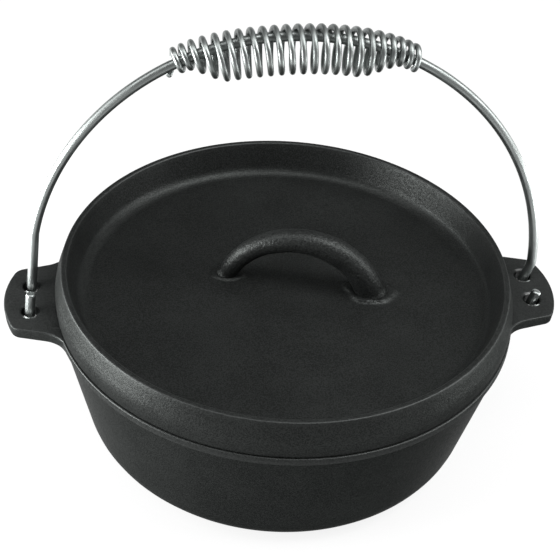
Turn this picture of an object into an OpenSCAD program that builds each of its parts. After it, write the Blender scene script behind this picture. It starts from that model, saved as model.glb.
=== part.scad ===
// Camp dutch oven: a cast-iron pot with two drilled ears, a dished lid with a
// cast loop handle, and a wire bail that carries a coiled spring grip.
// Millimetres, +Z up. The origin is the middle of the pot's flat base and
// the ears lie along X.

/* [Pot] */
// Height of the pot from its base to the top of its rim
pot_h = 93; // [75:0.5:120]
// Outer radius of the band round the rim
rim_r = 139.8; // [120:0.2:165]
// Height of the band round the rim
rim_band_h = 4.3; // [3:0.1:6]
// How far the band stands out from the wall below it
rim_step = 1.3; // [0.6:0.1:2.5]
// Chamfer round the outside of the rim
rim_chamfer = 0.8; // [0.3:0.1:1.2]
// Draft of the pot's wall, in degrees from upright
wall_draft = 12.4; // [6:0.1:18]
// Thickness of the pot's wall
wall_t = 4.8; // [4:0.1:6.5]
// Thickness of the pot's floor
floor_t = 5.5; // [4.5:0.1:8]
// Outside radius of the corner between wall and base
base_corner_r = 23; // [15:0.5:35]

/* [Ears] */
// Reach of an ear beyond the rim
ear_reach = 30; // [25:0.5:38]
// Thickness of an ear
ear_t = 7.5; // [6:0.1:9]
// Width of an ear, taken at its holes
ear_w = 59.8; // [48:0.2:72]
// How much each side of an ear splays towards the pot, in degrees
ear_splay = 14; // [6:0.5:20]
// Radius of the ear's bowed outer edge
ear_tip_r = 60; // [45:1:90]
// Radius of the ear's outer corners
ear_corner_r = 7.5; // [5:0.5:12]
// Radius of the hollow between ear and pot
ear_fillet_r = 18; // [8:0.5:22]
// Distance of the holes from the rim band
hole_out = 14.2; // [12:0.1:17]
// Distance between the two holes of an ear
hole_spacing = 23.5; // [20:0.1:28]
// Diameter of a hole in an ear
hole_d = 10.4; // [10:0.1:11]

/* [Lid] */
// Height of the lid's wall above the pot's rim
lid_h = 22.7; // [18:0.1:30]
// How far the lid's lower edge lies inside the rim band
lid_foot_in = 1.1; // [0.6:0.1:2]
// How far the ridge round the lid lies inside the rim band
lid_ridge_in = 0.4; // [0:0.1:1]
// Height of that ridge above the lid's lower edge
lid_ridge_h = 8.7; // [5:0.1:12]
// How far the lid's top edge lies inside the rim band
lid_top_in = 4.8; // [3:0.1:7]
// Rounding of the lid's edges, as a chamfer
lid_chamfer = 1; // [0.4:0.1:1.2]
// Width of the flat land on top of the lid's wall
lid_land_w = 2.2; // [1.5:0.1:4]
// Slope of the tray's wall, in degrees from upright
tray_draft = 19; // [8:0.5:24]
// Radius between the tray's wall and its floor
tray_corner_r = 8; // [4:0.5:12]
// Height of the tray's floor above the lid's lower edge
tray_floor_up = 2.5; // [1:0.1:4]
// Thickness of the lid's floor
lid_floor_t = 5; // [4:0.1:7]
// Gap all round between the plug under the lid and the pot's wall
plug_gap = 2.5; // [1.5:0.1:4]
// Gap between the lid's lower edge and the rim
seat_gap = 0.3; // [0.2:0.05:0.5]
// Turn of the lid about its middle, in degrees
lid_turn = -13.5; // [-40:0.5:40]

/* [Lid handle] */
// Thickness of the handle's bar
handle_d = 15; // [11:0.1:18]
// Radius of the handle's arch, to the middle of the bar
handle_r = 47; // [40:0.5:56]
// Height of the top of the arch, to the middle of the bar, above the tray's floor
handle_rise = 32; // [28:0.5:40]
// How far the handle stands to the right of the lid's middle
handle_shift = 7.5; // [0:0.5:15]
// How far the handle stands behind the lid's middle
handle_back = 8; // [0:0.5:15]
// Diameter of the flared foot at each end of the bar
foot_d = 22; // [18:0.5:28]
// Height of the flared foot
foot_h = 4.5; // [2:0.1:8]

/* [Bail] */
// Diameter of the bail's wire
bail_wire_d = 6; // [5:0.1:6]
// How far the bail's arch bows out beyond the holes, to the middle of the wire
bail_bow = 2; // [2:0.5:12]
// How far the arch stands to the right of the pot's middle
bail_shift = 2.6; // [0:0.1:3]
// Height of the arch's centre above the middle of the ears
bail_centre_up = 11; // [0:0.5:18]
// Radius of the bend above each ear
bail_bend_r = 12; // [8:0.5:25]
// Lean of the left hook out from upright, in degrees
left_tilt = -5; // [-8:0.5:-4]
// Lean of the right hook out from upright, in degrees
right_tilt = 18; // [4:0.5:18]
// Swelling of the wire where two of its runs meet, on the radius
joint_swell = 0.1; // [0.08:0.01:0.2]
// Straight wire between the ear's underside and the hook's round end
hook_drop = 2.5; // [1:0.1:8]
// Height of the cut end above the ear at the left
stub_left = 11; // [3:0.5:14]
// Height of the cut end above the ear at the right
stub_right = 5; // [3:0.5:14]
// How far the bail leans back on its stop, in degrees
bail_lean = 6; // [0:0.5:6]

/* [Spring grip] */
// Number of turns in the grip
grip_turns = 23; // [12:1:28]
// Diameter of the grip's wire
grip_wire_d = 3.5; // [2.5:0.1:3.6]
// Outside diameter of the turns in the middle
grip_mid_d = 28.4; // [22:0.5:32]
// Outside diameter of the turns at the ends
grip_end_d = 16.2; // [15:0.1:18]
// Pitch of the turns in the middle
grip_mid_pitch = 6.6; // [5.5:0.1:7.5]
// Pitch of the turns at the ends
grip_end_pitch = 4.6; // [4.4:0.1:5.5]
// Turns at each end that keep the small diameter
grip_tight_turns = 1.25; // [1:0.25:2.5]
// Turns over which the diameter grows
grip_taper_turns = 5; // [3:0.5:5]
// Gap between the grip's turns and the bail's wire
grip_gap = 0.35; // [0.3:0.05:0.6]
// How far the grip has slid to the left of the arch's middle
grip_slide = 2.3; // [0:0.1:6]
// How far the grip's full middle has swung forward from straight below the bail, in degrees
grip_swing = 35; // [0:1:60]

/* [Hidden] */
$fn = 128;
iron = [0.13, 0.135, 0.13];
zinc = [0.66, 0.68, 0.68];
spring_zinc = [0.60, 0.62, 0.62];
// Overlap that lets a cut run clear of a face
past = 1;

// Pot
rim_band_z = pot_h - rim_band_h;
wall_rim_r = rim_r - rim_step + rim_band_h * tan(wall_draft);
cavity_rim_r = wall_rim_r - wall_t / cos(wall_draft);
cavity_corner_r = base_corner_r - wall_t;

// Ears: the side line at +Y has the outward normal side_out and the
// direction side_along, and lies side_off from the pot's axis. The hollow
// at its root runs into the pot's wall
ear_z = pot_h - ear_t;
ear_mid_z = pot_h - ear_t / 2;
ear_sink = 0.5;
ear_root_r = rim_r - rim_step - max(0, rim_band_z - ear_z) * tan(wall_draft) - ear_sink;
hole_x = rim_r + hole_out;
side_out = [sin(ear_splay), cos(ear_splay)];
side_along = [cos(ear_splay), -sin(ear_splay)];
side_off = side_out * [hole_x, ear_w / 2];
fillet_c = on_line_at(side_off + ear_fillet_r, ear_root_r + ear_fillet_r);
fillet_a = atan2(fillet_c[1], fillet_c[0]);
tip_c = [rim_r + ear_reach - ear_tip_r, 0];
corner_c = tip_c + on_line_at(side_off - ear_corner_r - side_out * tip_c, ear_tip_r - ear_corner_r);
corner_a = atan2(corner_c[1], corner_c[0] - tip_c[0]);
arc_steps = 12;

// Lid
seat_z = pot_h + seat_gap;
lid_top_z = seat_z + lid_h;
lid_top_r = rim_r - lid_top_in;
tray_z = seat_z + tray_floor_up;
tray_rim_r = lid_top_r - lid_chamfer - lid_land_w;
plug_r = cavity_rim_r - plug_gap;

// Lid handle: the bar runs on into the lid's floor by half its thickness
handle_centre_z = tray_z + handle_rise - handle_r;
handle_start = asin((tray_z - lid_floor_t / 2 - handle_centre_z) / handle_r);
foot_x = sqrt(handle_r * handle_r - pow(tray_z - handle_centre_z, 2));

// Bail: the holes' distances from the middle of the arch, which stands a
// little to the right
bail_r = hole_x + bail_bow;
left_hole = hole_x + bail_shift;
right_hole = hole_x - bail_shift;
hook_down = ear_t / 2 + hook_drop;
// Each run of wire stops this far short of the next, inside the collar that joins them
joint_cut = 0.1;
joint_length = 1;

// Spring grip: rings of grip_sides points, grip_rings of them to a turn
grip_rings = 8;
grip_sides = 6;
ring_count = grip_turns * grip_rings;
ring_turn = [for (i = [0 : ring_count]) i / grip_rings];
ring_run = [for (i = 0, run = 0; i <= ring_count;
                 run = run + grip_pitch(i / grip_rings) / grip_rings, i = i + 1) run];
grip_run = ring_run[ring_count];
grip_start = -grip_run / 2 - grip_slide;
coil = [for (i = [0 : ring_count]) coil_point(ring_turn[i], grip_start + ring_run[i])];
coil_path = concat([coil[0] - unit(coil[1] - coil[0]) * grip_wire_d], coil,
                   [coil[ring_count] + unit(coil[ring_count] - coil[ring_count - 1]) * grip_wire_d]);
coil_out = concat([coil_outward(0, grip_start)],
                  [for (i = [0 : ring_count]) coil_outward(ring_turn[i], grip_start + ring_run[i])],
                  [coil_outward(grip_turns, grip_start + grip_run)]);
last_ring = len(coil_path) - 1;
// Nearest that two turns come to each other: points over half a turn apart
half_turn = grip_rings / 2;
turn_gap = min([for (i = [0 : ring_count - grip_rings])
                for (j = [i + half_turn + 1 : min(i + 2 * grip_rings, ring_count)])
                    norm(coil[i] - coil[j])]) - grip_wire_d;
echo(str("least gap between the turns of the grip: ", turn_gap, " mm"));

function unit(v) = v / norm(v);

// Point at distance across along side_out and at distance reach from the origin
function on_line_at(across, reach) =
    side_out * across + side_along * sqrt(reach * reach - across * across);

// Points along an arc, half a step in from its ends, so that arcs that meet
// share no point
function arc_points(centre, r, from, to) =
    [for (i = [0 : arc_steps - 1])
        let (a = from + (to - from) * (i + 0.5) / arc_steps) centre + [cos(a), sin(a)] * r];

// Direction up along a hook's straight leg, and the direction out from it
function hook_along(tilt) = [sin(tilt), cos(tilt)];
function hook_out(tilt) = [cos(tilt), -sin(tilt)];

// Centre of the bend that touches the arch and the straight leg of a hook
// whose hole lies at the distance hole from the arch's middle
function bend_centre(hole, tilt) =
    let (across = hook_out(tilt) * [hole, -bail_centre_up] - bail_bend_r)
    [0, bail_centre_up] + hook_out(tilt) * across
    + hook_along(tilt) * sqrt(pow(bail_r - bail_bend_r, 2) - across * across);

// Angle below the arch's centre at which the arch runs into that bend
function bend_start(hole, tilt) =
    let (c = bend_centre(hole, tilt)) atan2(bail_centre_up - c[1], c[0]);

// 0 at the grip's ends, up to the given turn, and 1 along its full middle
function swell(turn, tight) =
    let (from_end = min(turn, grip_turns - turn),
         s = max(0, min(1, (from_end - tight) / grip_taper_turns)))
    s * s * (3 - 2 * s);

function grip_pitch(turn) = grip_end_pitch + (grip_mid_pitch - grip_end_pitch) * swell(turn, 0);

function coil_r(turn) =
    (grip_end_d + (grip_mid_d - grip_end_d) * swell(turn, grip_tight_turns) - grip_wire_d) / 2;

// The turns hang from the bail: their inside rests over the top of its wire.
// How far a turn's middle lies from the middle of the bail's wire
function coil_hang(turn) =
    max(0, coil_r(turn) * cos(180 / grip_rings) - (grip_wire_d + bail_wire_d) / 2 - grip_gap);

// Direction from the arch's centre at a distance run along the wire
function arch_out(run) = let (a = run / bail_r * 180 / PI) [sin(a), 0, cos(a)];

// Direction from the middle of a turn up to the middle of the bail's wire
function hang_up(run) = arch_out(run) * cos(grip_swing) + [0, sin(grip_swing), 0];

// Direction from the middle of a turn to its wire: a right-hand coil along +X
// that starts and ends under the bail
function coil_outward(turn, run) =
    [0, sin(360 * turn), 0] - arch_out(run) * cos(360 * turn);

function coil_point(turn, run) =
    [0, hole_spacing / 2, bail_centre_up]
    + arch_out(run) * bail_r - hang_up(run) * coil_hang(turn)
    + coil_outward(turn, run) * coil_r(turn);

// One ring of the grip's wire round point i of its path
function coil_ring(i) =
    let (along = unit(coil_path[min(i + 1, last_ring)] - coil_path[max(i - 1, 0)]),
         out = unit(coil_out[i] - along * (coil_out[i] * along)),
         across = cross(along, out))
    [for (k = [0 : grip_sides - 1])
        let (a = 360 * k / grip_sides)
        coil_path[i] + (out * cos(a) + across * sin(a)) * grip_wire_d / 2];

// Half outline of a bowl: a wall that leans by draft from upright, a round
// corner and a flat floor
module bowl(top_r, top_z, floor_z, draft, corner_r) {
    wall_out = [cos(draft), -sin(draft)];
    corner_z = floor_z + corner_r;
    corner_x = (wall_out * [top_r, top_z] - corner_r + corner_z * sin(draft)) / cos(draft);
    corner = [corner_x, corner_z];
    polygon([[0, floor_z], [corner_x, floor_z], corner + wall_out * corner_r, [top_r, top_z], [0, top_z]]);
    translate(corner) circle(corner_r);
}

// The band round the pot's rim, with its outer edge chamfered
module rim_band() {
    polygon([[0, rim_band_z - rim_step], [rim_r - rim_step * (1 + tan(wall_draft)), rim_band_z - rim_step],
             [rim_r, rim_band_z], [rim_r, pot_h - rim_chamfer], [rim_r - rim_chamfer, pot_h], [0, pot_h]]);
}

// Outline of an ear seen from above, on the +X side
module ear_outline() {
    side = concat(arc_points(fillet_c, ear_fillet_r, 180 + fillet_a, 270 - ear_splay),
                  arc_points(corner_c, ear_corner_r, 90 - ear_splay, corner_a));
    tip = arc_points(tip_c, ear_tip_r, corner_a, -corner_a);
    other = [for (i = [len(side) - 1 : -1 : 0]) [side[i][0], -side[i][1]]];
    polygon(concat(side, tip, other));
}

module ear() {
    difference() {
        translate([0, 0, ear_z]) linear_extrude(ear_t) ear_outline();
        for (s = [-1, 1])
            translate([hole_x, s * hole_spacing / 2, ear_z - past])
                cylinder(d = hole_d, h = ear_t + 2 * past);
    }
}

module pot() {
    color(iron) difference() {
        union() {
            rotate_extrude() {
                bowl(wall_rim_r - rim_band_h * tan(wall_draft), rim_band_z, 0, wall_draft, base_corner_r);
                rim_band();
            }
            for (turn = [0, 180]) rotate([0, 0, turn]) ear();
        }
        rotate_extrude()
            bowl(cavity_rim_r + past * tan(wall_draft), pot_h + past, floor_t, wall_draft, cavity_corner_r);
    }
}

// Half outline of the lid without its tray
module lid_outline() {
    foot_r = rim_r - lid_foot_in;
    polygon([[0, tray_z - lid_floor_t], [plug_r - lid_chamfer, tray_z - lid_floor_t],
             [plug_r, tray_z - lid_floor_t + lid_chamfer], [plug_r, seat_z],
             [foot_r - lid_chamfer, seat_z], [foot_r, seat_z + lid_chamfer],
             [rim_r - lid_ridge_in, seat_z + lid_ridge_h],
             [lid_top_r, lid_top_z - lid_chamfer], [lid_top_r - lid_chamfer, lid_top_z], [0, lid_top_z]]);
}

// The loop that lifts the lid: an arch of round bar on two flared feet
module lid_handle() {
    translate([handle_shift, handle_back, handle_centre_z]) rotate([90, 0, 0])
        rotate_extrude(angle = 180 - 2 * handle_start, start = handle_start)
            translate([handle_r, 0]) circle(d = handle_d);
    for (s = [-1, 1])
        translate([handle_shift + s * foot_x, handle_back, tray_z - lid_floor_t / 2])
            cylinder(d1 = foot_d, d2 = handle_d, h = foot_h + lid_floor_t / 2);
}

module lid() {
    color(iron) rotate([0, 0, lid_turn]) {
        difference() {
            rotate_extrude() lid_outline();
            rotate_extrude()
                bowl(tray_rim_r + past * tan(tray_draft), lid_top_z + past, tray_z,
                     tray_draft, tray_corner_r);
        }
        lid_handle();
    }
}

// Places what is drawn with the bail upright, its foot line on the X axis and
// the middle of its arch over the origin
module on_ears() {
    translate([bail_shift, 0, ear_mid_z]) rotate([-bail_lean, 0, 0]) children();
}

// A run of wire along an arc in the XZ plane
module wire_arc(r, start, sweep) {
    cut = joint_cut / r * 180 / PI;
    rotate([90, 0, 0]) rotate_extrude(angle = sweep - 2 * cut, start = start + cut)
        translate([r, 0]) circle(d = bail_wire_d);
}

// A straight run of wire up along Z
module wire_run(length) {
    translate([0, 0, joint_cut]) cylinder(d = bail_wire_d, h = length - 2 * joint_cut);
}

// The thin collar that joins two runs
module wire_joint() {
    cylinder(d = bail_wire_d + 2 * joint_swell, h = joint_length, center = true);
}

// The bail's end: a bend, then down through the ear's rear hole, round below
// the ear and up through its front hole
module hook(hole, tilt, stub) {
    bend = bend_centre(hole, tilt);
    start = bend_start(hole, tilt);
    leg_up = (bend + hook_out(tilt) * bail_bend_r - [hole, 0]) * hook_along(tilt);
    translate([0, hole_spacing / 2, bail_centre_up]) rotate([0, start, 0])
        translate([bail_r, 0, 0]) wire_joint();
    translate([bend[0], hole_spacing / 2, bend[1]]) wire_arc(bail_bend_r, -tilt, tilt - start);
    translate([hole, 0, 0]) rotate([0, tilt, 0]) translate([0, 0, -hook_down]) {
        rotate([0, 0, 90]) wire_arc(hole_spacing / 2, 180, 180);
        for (s = [-1, 1]) translate([0, s * hole_spacing / 2, 0]) {
            wire_joint();
            wire_run(hook_down + (s > 0 ? leg_up : ear_t / 2 + stub));
        }
        translate([0, hole_spacing / 2, hook_down + leg_up]) wire_joint();
    }
}

module bail() {
    left_start = bend_start(left_hole, left_tilt);
    right_start = bend_start(right_hole, right_tilt);
    color(zinc) on_ears() {
        translate([0, hole_spacing / 2, bail_centre_up])
            wire_arc(bail_r, -right_start, 180 + left_start + right_start);
        hook(right_hole, right_tilt, stub_right);
        mirror([1, 0, 0]) hook(left_hole, left_tilt, stub_left);
    }
}

// One unbroken coil of wire round the top of the bail
module spring_grip() {
    points = [for (i = [0 : last_ring]) each coil_ring(i)];
    sides = [for (i = [0 : last_ring - 1]) for (k = [0 : grip_sides - 1])
        let (a = i * grip_sides + k, b = i * grip_sides + (k + 1) % grip_sides)
        each [[a, a + grip_sides, b], [b, a + grip_sides, b + grip_sides]]];
    first_cap = [for (k = [1 : grip_sides - 2]) [0, k, k + 1]];
    end = last_ring * grip_sides;
    last_cap = [for (k = [1 : grip_sides - 2]) [end, end + k + 1, end + k]];
    color(spring_zinc) on_ears() polyhedron(points, concat(sides, first_cap, last_cap));
}

pot();
lid();
bail();
spring_grip();
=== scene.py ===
"""A camp dutch oven: a cast-iron pot and lid, a wire bail and its coiled spring grip."""

import math

import bmesh
import bpy
import numpy as np
from bpy.props import FloatProperty, FloatVectorProperty, IntProperty, PointerProperty
from mathutils import Matrix, Vector


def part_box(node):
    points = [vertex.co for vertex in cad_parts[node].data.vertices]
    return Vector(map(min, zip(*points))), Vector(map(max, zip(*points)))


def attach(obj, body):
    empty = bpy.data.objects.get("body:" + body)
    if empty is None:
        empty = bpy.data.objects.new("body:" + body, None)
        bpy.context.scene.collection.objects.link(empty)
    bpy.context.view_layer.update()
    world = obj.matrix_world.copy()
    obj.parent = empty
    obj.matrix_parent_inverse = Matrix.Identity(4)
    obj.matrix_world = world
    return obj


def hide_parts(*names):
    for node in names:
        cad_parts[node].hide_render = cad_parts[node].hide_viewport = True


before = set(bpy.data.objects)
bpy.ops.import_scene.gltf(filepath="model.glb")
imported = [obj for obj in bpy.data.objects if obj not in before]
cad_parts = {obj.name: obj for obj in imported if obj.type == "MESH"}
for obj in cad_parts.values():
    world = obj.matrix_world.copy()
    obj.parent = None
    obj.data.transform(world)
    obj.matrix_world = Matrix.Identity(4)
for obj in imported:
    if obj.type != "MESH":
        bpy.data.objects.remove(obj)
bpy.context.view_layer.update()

bl_info = {
    "name": "Camp Dutch Oven",
    "version": (1, 0, 0),
    "blender": (4, 5, 0),
    "location": "View3D > Sidebar > Dutch Oven",
    "description": "Casts the pot and lid and bends the wires of a camp dutch oven",
    "category": "Add Mesh",
}

MM = 0.001
QUARTER = math.pi / 2
WHITE = (1.0, 1.0, 1.0, 1.0)
POT_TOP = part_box("pot")[1]

# The photograph's frame and the camera's sensor
PHOTO_PIXELS = 560
SENSOR_WIDTH = 36.0
NEAREST_SEEN = 0.01

# Fineness of the meshes: steps round the axis and along arcs, and the longest stretch of an outline
CORNER_STEPS = 8
POT_STEPS = 256
POT_STRETCH = 4 * MM
LID_STEPS = 320
LID_STRETCH = 3 * MM
TRAY_STRETCH = 1.2 * MM
HOLE_STEPS = 64
EAR_HOLLOW_STEPS = 14
EAR_CORNER_STEPS = 10
EAR_TIP_STEPS = 16
EAR_SIDE_STRETCH = 2 * MM
EAR_TOP_STEPS = 8
EAR_ROUND_STEPS = 6
EAR_UNDER_STEPS = 16
EAR_SIDE_CUTS = (0.33, 0.67)
LOOP_STEPS = 96
LOOP_SIDES = 40
ARCH_STEPS = 110
BEND_STEPS = 14
LEG_STRETCH = 1.5 * MM
HOOK_STEPS = 24
STUB_STEPS = 12
BAIL_SIDES = 28
TURN_STEPS = 40
GRIP_SIDES = 16
WIRE_END_STEPS = 5
CREASE = math.radians(40)

# Small sizes of the castings that follow from the mould and from wear, and the reach and share of the
# painted highlights on edges and the painted sheen on the ears' tops
BAND_HOLLOW = 1.2 * MM
EAR_ROOT_IN = 0.6 * MM
EAR_SINK = 2.2 * MM
EAR_TOP_ROUND = 1.1 * MM
EAR_LOW_ROUND = 1.4 * MM
EAR_DRAFT = 0.4 * MM
HOLE_STEEP = math.radians(25)
HOLE_FLAT = math.radians(10)
HOLE_FLARE = 2 * MM
# Reach of the paler lines along edges: partly wear, partly painted highlights
POT_EDGE_HIGHLIGHT_AND_WEAR = 0.8 * MM
LID_EDGE_HIGHLIGHT_AND_WEAR = 0.7 * MM
# Share of the painted sheen on the ears' level tops
EAR_TOP_SHEEN = 0.8
LOOP_WEAR = 0.35
RIGHT_PAD = (17.5 * MM, 12 * MM)
LEFT_PAD = (11 * MM, 8 * MM)
LEFT_PAD_SHARE = 0.6
PAD_EDGE = 0.14
FLOOR_REACH = 110 * MM
FLOOR_FADE = 12 * MM
FLOOR_WAVE = 0.07 * MM

# Small sizes of the wires
WIRE_END_TAPER = 0.8
GRIP_END_ROUND = 0.8 * MM
TAIL_TURNS = 0.4

# The floor: its half width, its gap under the pot, and the distances over which it fades in front
FLOOR_HALF = 4.0
FLOOR_DROP = 0.1 * MM
FLOOR_FADES = (0.25, 1.0)

# The studio's light changes over these spans of a direction's parts: X is right, Y back and Z up
FRONT_TO_BACK = (-0.8, -0.4)
BACKDROP_TO_ROOM = (0.10, 0.45)
ROOM_RISE = (0.30, 0.90)
ROOM_LEFT_TO_RIGHT = (-0.4, 0.6)
ROOM_LEFT_SHARE = 0.3
ROOM_RIGHT_SHARE = 2.1
ARCH_FORWARD = 0.12
ARCH_EDGE = (0.08, 0.30)
ARCH_FOOT = (0.04, 0.20)
ARCH_TO_RIGHT = (0.0, 0.9)
ARCH_RIGHT_SHARE = 1.9

# Place of each lamp, and its width and height
TOP_LAMP = (0.35, -0.2, 0.8)
TOP_LAMP_SIZE = (0.3, 0.3)
LEFT_LAMP = (-0.5, -0.03, 0.12)
LEFT_LAMP_SIZE = (0.48, 0.22)
RIGHT_LAMP = (0.5, 0.0, 0.052)
RIGHT_LAMP_SIZE = (0.5, 0.1)


def length(name, description, default):
    """A size in metres that shows in the sidebar."""
    return FloatProperty(name=name, description=description, default=default, min=0.0, max=1.0,
                         precision=4, subtype="DISTANCE", unit="LENGTH")


def signed_length(name, description, default):
    """A distance in metres that may run either way."""
    return FloatProperty(name=name, description=description, default=default, min=-1.0, max=1.0,
                         precision=4, subtype="DISTANCE", unit="LENGTH")


def angle(name, description, degrees):
    """An angle that shows in the sidebar in degrees."""
    return FloatProperty(name=name, description=description, default=math.radians(degrees),
                         min=-math.pi, max=math.pi, subtype="ANGLE", unit="ROTATION")


def share(name, description, default):
    """A plain number from 0 to 1."""
    return FloatProperty(name=name, description=description, default=default, min=0.0, max=1.0,
                         subtype="FACTOR")


def number(name, description, default, least, most):
    """A plain number, such as a count of turns or a strength."""
    return FloatProperty(name=name, description=description, default=default, min=least, max=most)


def power(name, description, default):
    """The power of a lamp."""
    return FloatProperty(name=name, description=description, default=default, min=0.0, max=200.0,
                         subtype="POWER", unit="POWER")


def colour(name, description, default):
    """A linear colour."""
    return FloatVectorProperty(name=name, description=description, default=default, size=3,
                               min=0.0, max=1.0, subtype="COLOR")


class PotSize(bpy.types.PropertyGroup):
    """Sizes of the pot and its two ears."""

    height: length("Height", "From the base to the top of the rim", POT_TOP.z)
    rim_radius: length("Rim radius", "Outside of the band round the rim", POT_TOP.y)
    band_height: length("Band height", "Height of the band round the rim", 4.3 * MM)
    band_step: length("Band step", "How far the band stands out from the wall", 1.3 * MM)
    draft: angle("Wall draft", "Lean of the wall from upright", 12.4)
    wall: length("Wall", "Thickness of the wall", 4.8 * MM)
    floor: length("Floor", "Thickness of the floor", 5.5 * MM)
    base_corner: length("Base corner", "Outside radius between wall and base", 23 * MM)
    edge_round: length("Edge rounding", "Radius of the cast edges", 0.9 * MM)
    ear_reach: length("Ear reach", "Reach of an ear beyond the rim", POT_TOP.x - POT_TOP.y)
    ear_thickness: length("Ear thickness", "Thickness of an ear", 7.5 * MM)
    ear_width: length("Ear width", "Width of an ear at its holes", 59.8 * MM)
    ear_splay: angle("Ear splay", "How much each side of an ear splays to the pot", 14)
    ear_tip: length("Ear tip", "Radius of the bowed outer edge", 60 * MM)
    ear_corner: length("Ear corner", "Radius of the outer corners", 7.5 * MM)
    ear_hollow: length("Ear hollow", "Radius of the hollow between ear and rim", 18 * MM)
    ear_fillet: length("Ear fillet", "Radius under the ear where it meets the wall", 3.2 * MM)
    hole_out: length("Hole distance", "From the rim band to the holes", 14.2 * MM)
    hole_spacing: length("Hole spacing", "Between the two holes of an ear", 23.5 * MM)
    hole: length("Hole", "Diameter of a hole", 10.4 * MM)
    hole_mouth: length("Hole mouth", "Width of the worn hollow round a hole", 1.7 * MM)


class LidSize(bpy.types.PropertyGroup):
    """Sizes of the lid and the loop cast on it."""

    top: length("Top", "Height of the lid's top edge above the base", POT_TOP.z + 23 * MM)
    seat_gap: length("Seat gap", "Gap between the lid and the rim", 0.3 * MM)
    foot_in: length("Foot inset", "How far the lower edge lies inside the rim band", 1.1 * MM)
    ridge_in: length("Ridge inset", "How far the ridge lies inside the rim band", 0.4 * MM)
    ridge_height: length("Ridge height", "Height of the ridge above the lower edge", 8.7 * MM)
    ridge_round: length("Ridge rounding", "Radius of the soft ridge", 22 * MM)
    top_in: length("Top inset", "How far the top edge lies inside the rim band", 4.8 * MM)
    land: length("Land", "Width of the top edge between its roundings", 3.2 * MM)
    tray_draft: angle("Tray draft", "Slope of the tray's wall from upright", 19)
    tray_corner: length("Tray corner", "Radius between the tray's wall and floor", 8 * MM)
    tray_floor: length("Tray floor", "Height of the tray's floor above the lower edge", 2.5 * MM)
    floor: length("Floor", "Thickness of the lid's floor", 5 * MM)
    plug_in: length("Plug inset", "How far the plug lies inside the rim band", 7.8 * MM)
    edge_round: length("Edge rounding", "Radius of the cast edges", 1.1 * MM)
    turn: angle("Turn", "Turn of the lid about its middle", -13.5)
    loop_radius: length("Loop radius", "Radius of the loop, to the middle of its bar", 47 * MM)
    loop_rise: length("Loop rise", "Height of the loop, to the middle of its bar", 32 * MM)
    loop_shift: length("Loop shift", "How far the loop stands to the right", 7.5 * MM)
    loop_back: length("Loop back", "How far the loop stands behind the middle", 8 * MM)
    bar_left: length("Left bar", "Thickness of the bar at its left foot", 11.2 * MM)
    bar_right: length("Right bar", "Thickness of the bar at its right foot", 18.6 * MM)
    foot_round: length("Foot rounding", "Radius where the bar runs into the floor", 2.5 * MM)
    pad_height: length("Pad height", "Height of the low pads under the feet", 1.7 * MM)


class BailSize(bpy.types.PropertyGroup):
    """Sizes of the bail's wire."""

    wire: length("Wire", "Diameter of the wire", 6 * MM)
    bow: length("Bow", "How far the arch bows out beyond the holes", 2 * MM)
    shift: length("Shift", "How far the arch stands to the right", 2.6 * MM)
    centre_up: length("Arch centre", "Height of the arch's centre above the ears", 11 * MM)
    bend: length("Bend", "Radius of the bend above each ear", 12 * MM)
    left_tilt: angle("Left tilt", "Lean of the left hook out from upright", -5)
    right_tilt: angle("Right tilt", "Lean of the right hook out from upright", 18)
    drop: length("Drop", "Straight wire between the ear and the hook's round end", 2.5 * MM)
    stub_left: length("Left stub", "Height of the cut end above the left ear", 11 * MM)
    stub_right: length("Right stub", "Height of the cut end above the right ear", 5 * MM)
    lean: angle("Lean", "How far the bail leans back on its stop", 6)
    end_round: length("End rounding", "Rounding of the cut ends", 1.8 * MM)


class GripSize(bpy.types.PropertyGroup):
    """Sizes of the coiled spring grip."""

    turns: IntProperty(name="Turns", description="Number of turns", default=23, min=4, max=40)
    wire: length("Wire", "Diameter of the wire", 3.5 * MM)
    middle: length("Middle", "Outside diameter of the middle turns", 28.2 * MM)
    end: length("Ends", "Outside diameter of the end turns", 16 * MM)
    middle_pitch: length("Middle pitch", "Pitch of the middle turns", 6.6 * MM)
    end_pitch: length("End pitch", "Pitch of the end turns", 4.6 * MM)
    tight_turns: number("Tight turns", "Turns at each end that stay small", 1.25, 0.5, 4.0)
    taper_left: number("Left taper", "Turns over which it widens from its left end", 4.0, 1.0, 8.0)
    taper_right: number("Right taper", "Turns over which it widens from its right end", 5.0, 1.0, 8.0)
    gap: length("Gap", "Gap between the turns and the bail's top", 0.1 * MM)
    slide: length("Slide", "How far the coil has slid to the left", 2.3 * MM)
    swing: angle("Swing", "How far the coil has swung forward from straight below the bail", 35)
    lift: length("Lift", "How far the ends of the stiff coil rise on the curved bail", 3.2 * MM)
    lift_left: number("Left lift", "Turns over which it rises to its left end", 10.0, 1.0, 16.0)
    lift_right: number("Right lift", "Turns over which it rises to its right end", 13.0, 1.0, 16.0)
    fan: share("Fan", "How far the turns of the stiff coil fan out with the bail's arch", 0.6)
    tail: length("Tail", "How far the left end runs out along the bail", 4.5 * MM)


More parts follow.
